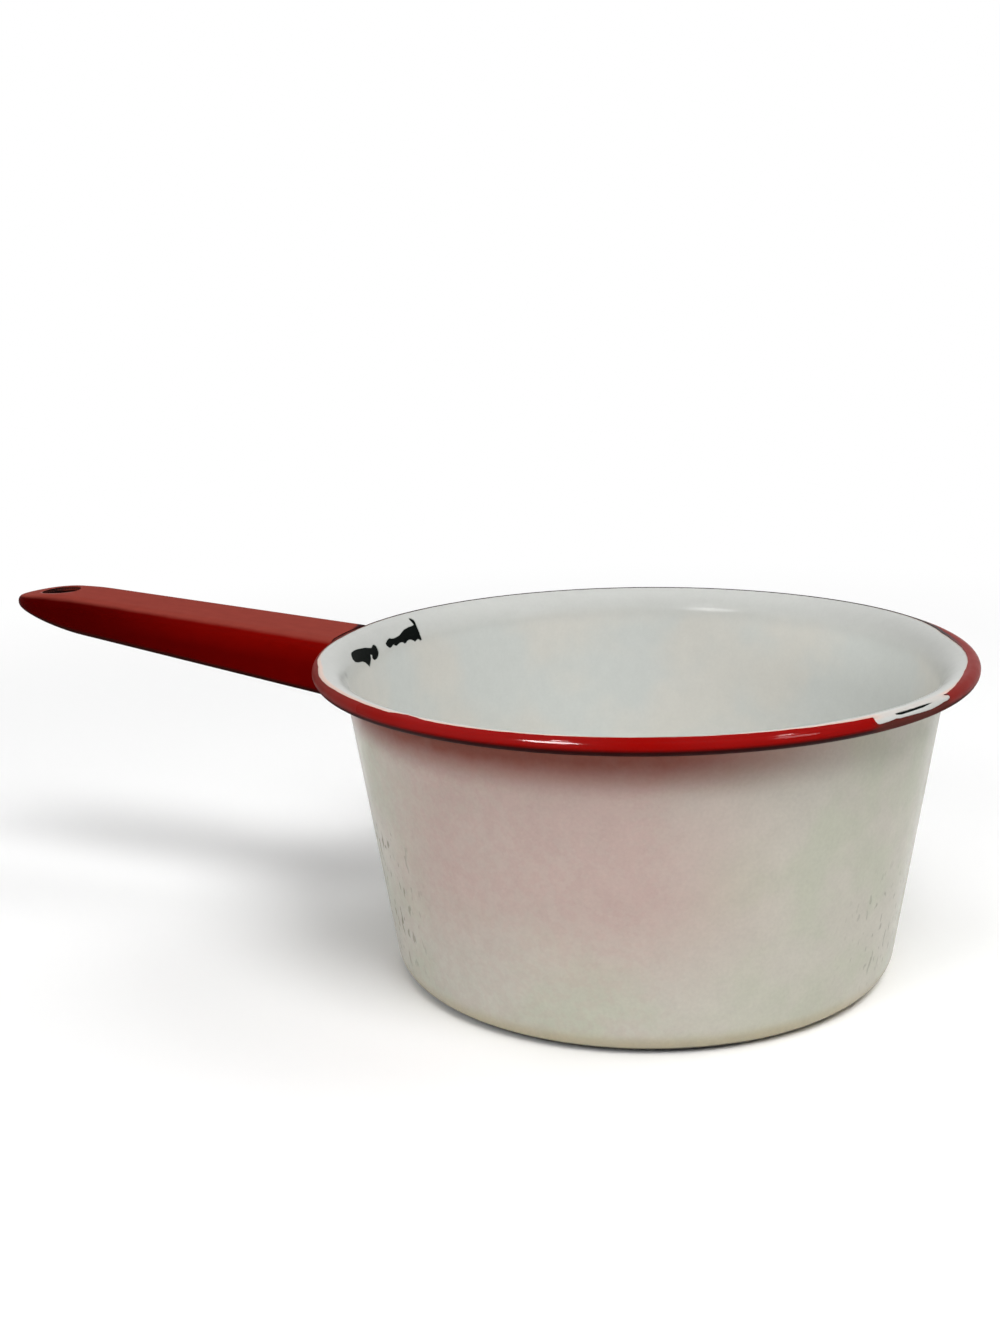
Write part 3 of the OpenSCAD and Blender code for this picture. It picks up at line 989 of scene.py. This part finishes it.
def whiteInsideFinish(look):
    material, place = newFinish("whiteInsideEnamel")
    wires = wiresOf(place, look)
    # painted shade: the lip gets a darker colour than the wall
    colour = paint(look["colour"], wires, look, "warm", "lip")
    # painted shade makes the lip a little dimmer at both sides, and painted light makes the bend below it a
    # little paler at the right
    dot = {0: place, 1: look["across"]}
    across = place.add("ShaderNodeVectorMath", {"operation": "DOT_PRODUCT"}, dot, "Value")
    wires |= {"across": across, "sideways": across.absolute(), "lipHeight": wires["height"]}
    shade = sway(wires["mottle"], wires["fine"], look["shade"])
    shade = shade - mask(wires, look, "sides") + mask(wires, look, "bend")
    # painted shade of a small dent: a darker spot on the lip
    dimpleShade = nearSpot(place, look["dimpleShade"]) * look["dimpleShade"]["share"]
    colour = scaleColour(colour, shade - dimpleShade)
    # a pale pink line along the red band, fainter beside the rim's chip
    pastRed = ofPiece(place, "pastRed")
    wires |= {"pastRed": pastRed, "pastLine": pastRed + mask(wires, look, "front")}
    gap = mask(wires, look, "pinkGap") * (1 - look["pinkInGap"]) + look["pinkInGap"]
    pink = mask(wires, look, "pink") * gap * look["pinkShare"]
    wires["toChip"] = ofPiece(place, "toChip")
    colour = paint(pink.blend(colour, look["pink"]), wires, look, "chipEdge")
    roughness = unevenRoughness(wires["mottle"], look)
    return finishSurface(material, look, colour, roughness, orangePeel(place, look))


whiteOutsideLook = {
    "colour": rgb(0.555, 0.530, 0.462),
    "green": rgb(0.518, 0.522, 0.430),
    "pink": rgb(0.515, 0.392, 0.352),
    "under": rgb(0.235, 0.078, 0.058),
    "foot": rgb(0.50, 0.445, 0.315),
    "heel": rgb(0.05, 0.045, 0.035),
    "tick": rgb(0.15, 0.145, 0.10),
    "noises": {
        "broad": (55, 3), "mottle": (7, 3), "fine": (1.1, 4, 0.6), "greenPatch": (22, 3), "fleck": (3, 3),
        "tick": (1.9, 1, 0.5, (1, 1, 0.42)),
    },
    "marks": {
        "green": {"greenPatch": (0.42, 0.66)},
        "cloud": {"bearing": (-90, 54, 14), "height": (10, 50), "broad": (-0.1, 0.7), "share": 0.95},
        "blush": {"bearing": (-104, 50, 26), "fleck": (0.42, 0.6), "share": 0.18},
        "under": {"height": (76, 89), "bearing": (-100, 84, 26)},
        "foot": {"height": (8, 3)},
        "heel": {"height": (2.3, 1.1), "bearing": (-115, 80, 50)},
        "ticks": {"tick": (0.62, 0.69)},
        "ticksLeft": {"bearing": (-146, 30, 6), "height": (34, 34, 10)},
        "ticksRight": {"bearing": (-12, 22, 4), "height": (26, 24, 8), "share": 0.5},
    },
    "shade": (0.14, 0.18),
    "underSway": 0.3,
    "footMottle": (0.6, 0.6),
    "tickShare": 0.75,
    "peel": [(3, 2, 0.6), (16, 1, 1.6)],
    "bump": 0.08,
    "roughness": 0.22,
    "roughnessSway": 0.12,
    "specular": 0.05,
}


def whiteOutsideFinish(look):
    material, place = newFinish("whiteOutsideEnamel")
    wires = wiresOf(place, look)
    mottle = wires["mottle"]
    colour = paint(look["colour"], wires, look, "green")
    # a pinkish cloud at the front, and the shade under the rim, which the red above it tints
    cloud = mask(wires, look, "cloud") + mask(wires, look, "blush")
    under = mask(wires, look, "under") * (1.0 + (mottle - 0.5) * look["underSway"])
    colour = under.blend(cloud.blend(colour, look["pink"]), look["under"])
    # yellowed above the foot, and dark at its edge, partly worn dark enamel and partly painted contact
    # shadow
    foot = mask(wires, look, "foot") * patchy(mottle, look["footMottle"])
    colour = paint(foot.blend(colour, look["foot"]), wires, look, "heel")
    colour = scaleColour(colour, sway(mottle, wires["fine"], look["shade"]))
    # short dark ticks low down at the left, and fewer at the right
    where = mask(wires, look, "ticksLeft") + mask(wires, look, "ticksRight")
    ticks = mask(wires, look, "ticks") * where * look["tickShare"]
    colour = ticks.blend(colour, look["tick"])
    roughness = unevenRoughness(mottle, look)
    return finishSurface(material, look, colour, roughness, orangePeel(place, look))


redRimLook = {
    "colour": rgb(0.255, 0.0012, 0.0003),
    "dull": rgb(0.115, 0.014, 0.009),
    "under": rgb(0.022, 0.0004, 0.0003),
    "chipped": rgb(0.085, 0.020, 0.015),
    "line": rgb(0.035, 0.022, 0.024),
    "noises": {"mottle": (5, 3)},
    "marks": {
        "dullLeft": {"turned": (180, 75, 38)},
        "dullRight": {"bearing": (20, 48, 30), "share": 0.7},
        "under": {"height": (95.0, 93.7)},
        "chipped": {"bearing": (-25, 11, 8), "height": (96.6, 95.6)},
        "farEdgeShade": {"pastEdge": (1.2, 0.6), "bearing": (100, 86, 70)},
        "chipLine": {"toRimChip": (0.5, 0.1), "height": (96.6, 97.0), "share": 0.8},
        "frontGloss": {"bearing": (-95, 24, 10), "share": 0.15},
        "rightGloss": {"bearing": (-52, 20, 8), "share": 0.08},
        "gloss": {"height": (94.2, 95.6)},
    },
    "dullMottle": (0.7, 0.6),
    "dullShare": 0.75,
    "chipMottle": (0.6, 0.7),
    "coatRoughness": 0.07,
    "peel": [(3, 2, 0.6), (12, 1, 1.0)],
    "bump": 0.03,
    "roughness": 0.10,
    "dullRoughness": 0.38,
    "chipRoughness": 0.3,
    "specular": 0.03,
}


def redRimFinish(look):
    material, place = newFinish("redRimEnamel")
    wires = wiresOf(place, look)
    wires |= {name: ofPiece(place, name) for name in ("pastEdge", "toRimChip")}
    wires["turned"] = wires["bearing"].absolute()
    ends = mask(wires, look, "dullLeft") + mask(wires, look, "dullRight")
    dull = ends * patchy(wires["mottle"], look["dullMottle"])
    colour = (dull * look["dullShare"]).blend(look["colour"], look["dull"])
    # painted shade: the roll's underside is painted near black
    below = mask(wires, look, "under")
    colour = below.blend(colour, look["under"])
    chipped = mask(wires, look, "chipped")
    colour = (chipped * patchy(wires["mottle"], look["chipMottle"])).blend(colour, look["chipped"])
    # a dark line along the band's far edge is painted shade, and beside the chip the ground coat shows as a
    # dark line
    line = mask(wires, look, "farEdgeShade") + mask(wires, look, "chipLine")
    colour = line.blend(colour, look["line"])
    worn = dull * look["dullRoughness"] + below * look["chipRoughness"] + chipped * look["chipRoughness"]
    # thicker, glossier glass at the front, where the photo shows a long highlight
    gloss = mask(wires, look, "frontGloss") + mask(wires, look, "rightGloss")
    coat = {"Coat Weight": gloss * mask(wires, look, "gloss"), "Coat Roughness": look["coatRoughness"]}
    return finishSurface(material, look, colour, worn + look["roughness"], orangePeel(place, look), coat)


redHandleLook = {
    "side": rgb(0.112, 0.0005, 0.0003),
    "sideTip": rgb(0.058, 0.0003, 0.0002),
    "ridge": rgb(0.165, 0.0015, 0.0005),
    "top": rgb(0.238, 0.041, 0.030),
    "low": rgb(0.028, 0.0055, 0.0045),
    "worn": rgb(0.34, 0.17, 0.155),
    "wall": rgb(0.13, 0.017, 0.010),
    "dark": rgb(0.012, 0.006, 0.006),
    "seam": rgb(0.030, 0.010, 0.014),
    "noises": {"mottle": (5, 3), "streak": (3, 3, 0.6, (0.25, 1, 1))},
    "marks": {
        "sideTip": {"towardTip": (0, 0.85)},
        "ridge": {"drop": (10.5, 4.0), "towardTip": (0.8, 0.1)},
        "top": {"turned": (0.60, 0.94)},
        "low": {"up": (0.0, -0.5)},
        "worn": {"toWorn": (0.9, 0.2), "y": (-1, -5), "share": 0.8},
        "outside": {"toHole": (-0.5, 0)},
        "dark": {"toDark": (0.9, 0.3), "along": (-1.5, -4.5), "y": (-2, 2), "share": 0.9},
        "wall": {"toHole": (0.06, 0.02)},
        "wallDark": {"along": (-2.5, -4.5)},
        "wider": {"y": (6, 13), "share": 2.0},
        "seam": {"reach": (101.9, 100.7), "up": (0.3, 0.7), "y": (2, 7)},
    },
    "shade": (0.16, 0.16),
    "topStreak": 0.10,
    "wornSway": 1.6,
    "darkSway": 1.2,
    "peel": [(2.5, 2, 0.5), (10, 1, 1.0)],
    "bump": 0.05,
    "roughness": 0.36,
    "topRoughness": 0.14,
    "specular": 0.002,
}


def redHandleFinish(look):
    material, place = newFinish("redHandleEnamel")
    x, y, z = [part * 1000 for part in splitPlace(place)]
    normal = place.add("ShaderNodeNewGeometry", output="Normal")
    up = splitPlace(normal)[2]
    wires = noisesOf(place, look)
    mottle, streak = wires["mottle"], wires["streak"]
    pastRim = 0 - x - bowl["rimRadius"]
    wires |= {"y": y, "up": up, "towardTip": pastRim * (1 / handle["length"])}
    wires["turned"] = up + (streak - 0.5) * look["topStreak"]
    wires["drop"] = pastRim * math.tan(handle["rise"]) + bowl["height"] - handle["topDrop"] - z
    # painted sheen makes the upward faces lighter, paler and duller, a painted lit band runs just below the
    # shoulder, and painted shade darkens the lower edge
    colour = paint(look["side"], wires, look, "sideTip", "ridge", "top", "low")
    colour = scaleColour(colour, sway(mottle, streak, look["shade"]))
    # the hanging hole: enamel on its wall, chipped dark at the tip's side, paler along the near edge
    along = x + holeAt
    toHole = (along * along + y * y).root() - handle["holeSize"] / 2
    wires |= {"along": along, "toHole": toHole}
    for name, amount in (("toWorn", look["wornSway"]), ("toDark", look["darkSway"])):
        wires[name] = toHole + (mottle - 0.5) * amount
    worn = mask(wires, look, "worn") * mask(wires, look, "outside")
    colour = paint(worn.blend(colour, look["worn"]), wires, look, "dark")
    wall = mask(wires, look, "wallDark").blend(look["wall"], look["dark"])
    colour = mask(wires, look, "wall").blend(colour, wall)
    # a dark seam where the handle meets the rim, partly painted shade in the gap and partly dark ground
    # coat
    wires["reach"] = (x * x + y * y).root() - mask(wires, look, "wider")
    colour = paint(colour, wires, look, "seam")
    roughness = mask(wires, look, "top") * look["topRoughness"] + look["roughness"]
    return finishSurface(material, look, colour, roughness, orangePeel(place, look))


groundLook = {
    "colour": rgb(0.002, 0.003, 0.0025),
    "grey": rgb(0.006, 0.008, 0.007),
    "noises": {"grain": (1.2, 3)},
    "marks": {"grey": {"grain": (0.5, 0.8)}},
    "bump": 0.08,
    "roughness": 0.55,
    "roughnessSway": 0.3,
    "specular": 0.02,
}


def groundFinish(look):
    material, place = newFinish("blackGroundEnamel")
    wires = noisesOf(place, look)
    colour = paint(look["colour"], wires, look, "grey")
    return finishSurface(material, look, colour, unevenRoughness(wires["grain"], look), wires["grain"])


# Bare steel: dark under the base, and stained red along the handle's sheet edges
steelLook = {
    "colour": rgb(0.06, 0.058, 0.056),
    "bright": rgb(0.22, 0.21, 0.2),
    "noises": {
        "blotch": (14, 4), "along": (0.8, 2, 0.6, (0.05, 1, 1)), "across": (0.7, 2, 0.6, (1, 0.06, 1)),
    },
    "marks": {
        "blotches": {"blotch": (0.4, 0.75), "share": 0.6},
        "scratches": {"scratch": (0.25, 0.4), "share": 0.6},
    },
    "blotchBump": 0.5,
    "bump": 0.04,
    "metallic": 0.7,
    "roughness": 0.42,
    "roughnessSway": 0.3,
    "specular": 0.49,
}
stainedLook = steelLook | {
    "colour": rgb(0.040, 0.006, 0.005),
    "bright": rgb(0.075, 0.016, 0.012),
    "metallic": 0.05,
    "roughness": 0.6,
    "specular": 0.035,
}


def steelFinish(name, look):
    material, place = newFinish(name)
    wires = noisesOf(place, look)
    scratch = wires["scratch"] = wires["along"] * wires["across"]
    bright = mask(wires, look, "blotches") + mask(wires, look, "scratches")
    colour = bright.blend(look["colour"], look["bright"])
    relief = scratch + wires["blotch"] * look["blotchBump"]
    roughness = unevenRoughness(wires["blotch"], look)
    return finishSurface(material, look, colour, roughness, relief, {"Metallic": look["metallic"]})


dress(whiteInside, whiteInsideFinish(whiteInsideLook))
dress(whiteOutside, whiteOutsideFinish(whiteOutsideLook))
dress(redRim, redRimFinish(redRimLook))
dress(redHandle, redHandleFinish(redHandleLook))
ground = groundFinish(groundLook)
steel = steelFinish("darkSteel", steelLook)
stainedSteel = steelFinish("stainedSteel", stainedLook)
dress(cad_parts["inner_ground_coat"], ground)
dress(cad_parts["outer_ground_coat"], ground)
dress(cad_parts["bowl_pressing"], steel)
dress(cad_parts["spot_welds"], steel)
dress(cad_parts["handle_pressing"], stainedSteel)
print("materials made")

for piece, node, slot in (
    (whiteInside, "inner_white_coat", "white_inside"),
    (whiteOutside, "outer_white_coat", "white_outside"),
    (redRim, "rim_red_coat", "red_rim"),
    (redHandle, "handle_red_coat", "red_handle"),
):
    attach(piece, "root")
    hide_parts(node)


# Floor, world and lamps: bearing and height in degrees, size as seen from the pan, and share of
# the floor's light
studio = {
    "floorRadius": 6,
    "floorSides": 96,
    "floor": 0.98,
    "floorBounce": 0.88,
    "fadeFrom": 0.25,
    "fadeTo": 0.7,
    "surround": 0.2,
    "distance": 1.6,
    "aimHeight": 0.04,
}
lamps = {
    "mainLamp": {"bearing": 315, "height": 55, "size": 0.45, "share": 0.385},
    "frontLamp": {"bearing": 287, "height": 66, "size": 0.50, "share": 0.165},
    "rightLamp": {"bearing": 20, "height": 55, "size": 0.45, "share": 0.145},
    "leftLamp": {"bearing": 250, "height": 34, "size": 0.40, "share": 0.125},
    "backLamp": {"bearing": 160, "height": 34, "size": 0.45, "share": 0.07},
    "farLamp": {"bearing": 60, "height": 34, "size": 0.45, "share": 0.08},
}
# small lamps that only the gloss sees
gleams = {
    "rimGleam": {"bearing": 257, "height": 34, "size": 0.30, "share": 1.1},
    "sideGleam": {"bearing": 340, "height": 28, "size": 0.25, "share": 0.14},
    "rightGleam": {"bearing": 348, "height": 50, "size": 0.08, "share": 0.20},
    "leftGleam": {"bearing": 252, "height": 55, "size": 0.08, "share": 0.22},
}


def seenStraight(start):
    # 1 for the rays that show the background: straight from the camera, in a gloss or through glass
    seen = start.add("ShaderNodeLightPath", output="Is Camera Ray")
    for name in ("Is Glossy Ray", "Is Transmission Ray"):
        seen = seen.maths("MAXIMUM", seen, start.add("ShaderNodeLightPath", output=name))
    return seen


def makeFloor(look):
    deselectAll()
    sides, radius = look["floorSides"], look["floorRadius"]
    bpy.ops.mesh.primitive_circle_add(vertices=sides, radius=radius, fill_type="NGON")
    floor = bpy.context.object
    floor.name = floor.data.name = "paleFloor"
    material, place = newFinish("paleFloor")
    distance = place.add("ShaderNodeVectorMath", {"operation": "LENGTH"}, {0: place}, "Value")
    seen = seenStraight(place)
    far = distance.rise(look["fadeFrom"], look["fadeTo"]) * seen
    shown, bounced = (rgb(*[look[name]] * 3) for name in ("floor", "floorBounce"))
    paint = place.add("ShaderNodeBsdfDiffuse", {}, {"Color": seen.blend(bounced, shown)})
    glow = place.add("ShaderNodeEmission", {}, {"Color": rgb(1, 1, 1), "Strength": 1.0})
    mixed = place.add("ShaderNodeMixShader", {}, {0: far, 1: paint, 2: glow})
    output = place.tree.nodes.new("ShaderNodeOutputMaterial")
    place.tree.links.new(mixed.socket, output.inputs["Surface"])
    floor.data.materials.append(material)


def makeWorld(look):
    world = bpy.data.worlds.new("paleRoom")
    bpy.context.scene.world = world
    world.use_nodes = True
    world.node_tree.nodes.clear()
    start = Wire(world.node_tree)
    seen = seenStraight(start)
    strength = seen * (1 - look["surround"]) + look["surround"]
    background = start.add("ShaderNodeBackground", {}, {"Color": rgb(1, 1, 1), "Strength": strength})
    output = start.tree.nodes.new("ShaderNodeOutputWorld")
    start.tree.links.new(background.socket, output.inputs["Surface"])


def addLamp(name, lamp):
    bearing, height = math.radians(lamp["bearing"]), math.radians(lamp["height"])
    level, distance = math.cos(height), studio["distance"]
    away = Vector((math.cos(bearing) * level, math.sin(bearing) * level, math.sin(height)))
    place = away * distance + Vector((0, 0, studio["aimHeight"]))
    bpy.ops.object.light_add(type="AREA", location=place)
    light = bpy.context.object
    light.name = light.data.name = name
    light.rotation_euler = away.to_track_quat("Z", "Y").to_euler()
    light.data.shape = "DISK"
    light.data.size = lamp["size"] * distance
    floorLight = studio["floor"] * math.sin(height)
    light.data.energy = lamp["share"] * (math.pi * distance) ** 2 / floorLight
    light.visible_glossy = name in gleams
    light.visible_diffuse = name in lamps


makeFloor(studio)
makeWorld(studio)
for name, lamp in (lamps | gleams).items():
    addLamp(name, lamp)
bpy.context.scene.view_settings.view_transform = "Standard"
print("floor, world and lamps made")
